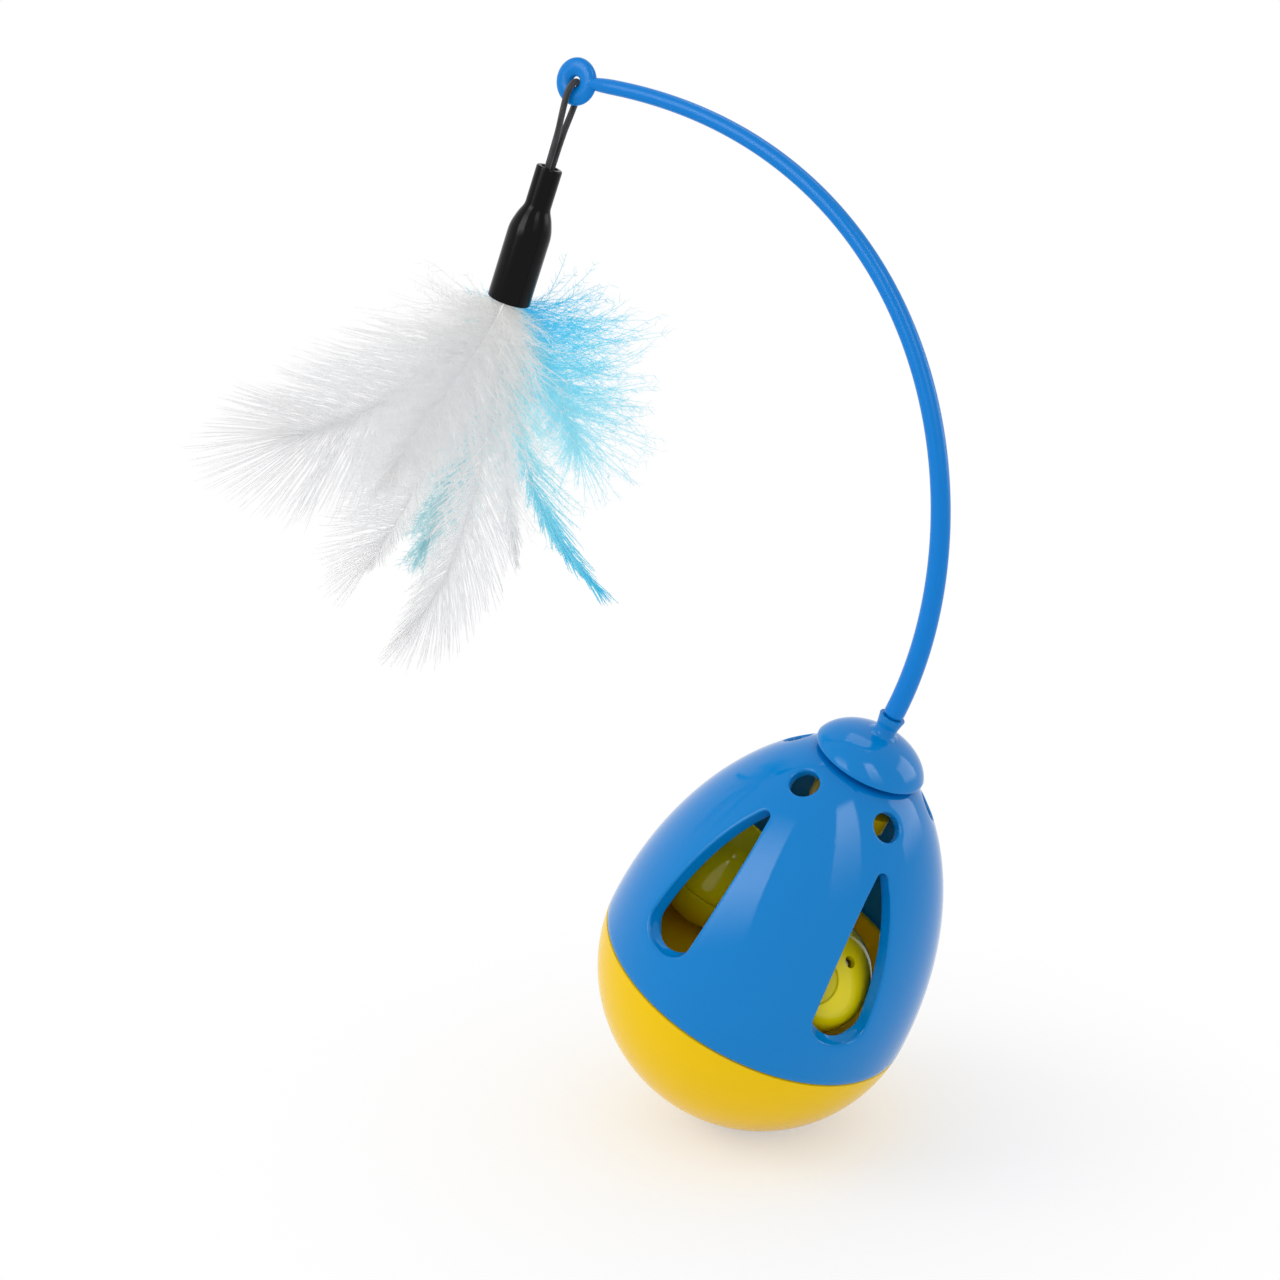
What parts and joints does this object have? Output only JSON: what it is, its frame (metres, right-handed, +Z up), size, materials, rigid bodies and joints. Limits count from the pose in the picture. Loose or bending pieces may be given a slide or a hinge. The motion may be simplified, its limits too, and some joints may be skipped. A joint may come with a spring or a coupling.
{
  "type": "cat tumbler ball toy",
  "caption": "Weighted egg-shaped tumbler toy with slotted shell, caged rattle balls and a bent wand with a feather pendant on a cord loop.",
  "frame": {"origin": "middle of the small flat that the toy stands on", "axes": "+Z up, +X towards the side that the toy leans to, in the plane of the wand's bend; +Y across it"},
  "size_m": [0.1675, 0.0894, 0.2443],
  "materials": {
    "yellow_shell": "smooth glossy moulded ABS",
    "blue_shell": "smooth glossy moulded ABS",
    "ball_plastic": "translucent glossy yellow-green plastic",
    "wand_plastic": "smooth flexible plastic rod",
    "elastic_cord": "woven elastic cord",
    "black_plastic": "smooth glossy moulded plastic",
    "glue_resin": "set hot-melt resin",
    "white_feather": "soft downy feather",
    "turquoise_feather": "soft dyed feather",
    "ballast_iron": "plain cast iron",
    "zinc_steel": "zinc-plated steel screws",
    "bell_steel": "nickel-plated sheet steel"
  },
  "bodies": {
    "egg": {"lower_shell": "yellow_shell", "ballast_weight": "ballast_iron", "ballast_cover": "yellow_shell", "cover_screw_1": "zinc_steel", "cover_screw_2": "zinc_steel", "cover_screw_3": "zinc_steel", "upper_shell": "blue_shell", "cap": "blue_shell", "cap_retainer": "yellow_shell", "retainer_screw": "zinc_steel"},
    "ball_a": {"ball_a_half_1": "ball_plastic", "ball_a_half_2": "ball_plastic"},
    "ball_b": {"ball_b_half_1": "ball_plastic", "ball_b_half_2": "ball_plastic"},
    "bell_a": {"ball_a_bell": "bell_steel"},
    "bell_b": {"ball_b_bell": "bell_steel"},
    "wand": {"wand": "wand_plastic"},
    "loop": {"cord_loop": "elastic_cord"},
    "pendant": {"cord_knot": "elastic_cord", "ferrule": "black_plastic", "feather_plug": "glue_resin", "feather_white_1": "white_feather", "feather_white_2": "white_feather", "feather_white_3": "white_feather", "feather_white_4": "white_feather", "feather_white_5": "white_feather", "feather_turquoise_1": "turquoise_feather", "feather_turquoise_2": "turquoise_feather", "feather_turquoise_3": "turquoise_feather"}
  },
  "joints": [
    {"name": "wand_swivel", "type": "hinge", "parent": "egg", "child": "wand", "pos_m": [0.03186, 0, 0.10124], "axis": [0.4462, 0, 0.8949], "continuous": true},
    {"name": "loop_swing", "type": "hinge", "parent": "wand", "child": "loop", "pos_m": [-0.04942, 0, 0.23898], "axis": [0, 1, 0], "range_deg": [-45, 100]},
    {"name": "pendant_twist", "type": "hinge", "parent": "loop", "child": "pendant", "pos_m": [-0.04942, 0, 0.23898], "axis": [0.3714, 0, 0.9285], "range_deg": [-180, 180]},
    {"name": "ball_a_orbit", "type": "hinge", "parent": "egg", "child": "ball_a", "pos_m": [0.00643, 0, 0.05023], "axis": [0.4462, 0, 0.8949], "continuous": true},
    {"name": "ball_b_orbit", "type": "hinge", "parent": "egg", "child": "ball_b", "pos_m": [0.00643, 0, 0.05023], "axis": [0.4462, 0, 0.8949], "continuous": true},
    {"name": "bell_a_roll", "type": "hinge", "parent": "ball_a", "child": "bell_a", "pos_m": [-0.01048, -0.00066, 0.05865], "axis": [1, 0, 0], "continuous": true},
    {"name": "bell_b_roll", "type": "hinge", "parent": "ball_b", "child": "bell_b", "pos_m": [0.01938, -0.01215, 0.04377], "axis": [0.5187, -0.855, 0], "continuous": true}
  ],
  "couplings": [
    {"joint": "ball_b_orbit", "follows": "ball_a_orbit", "ratio": 1}
  ]
}
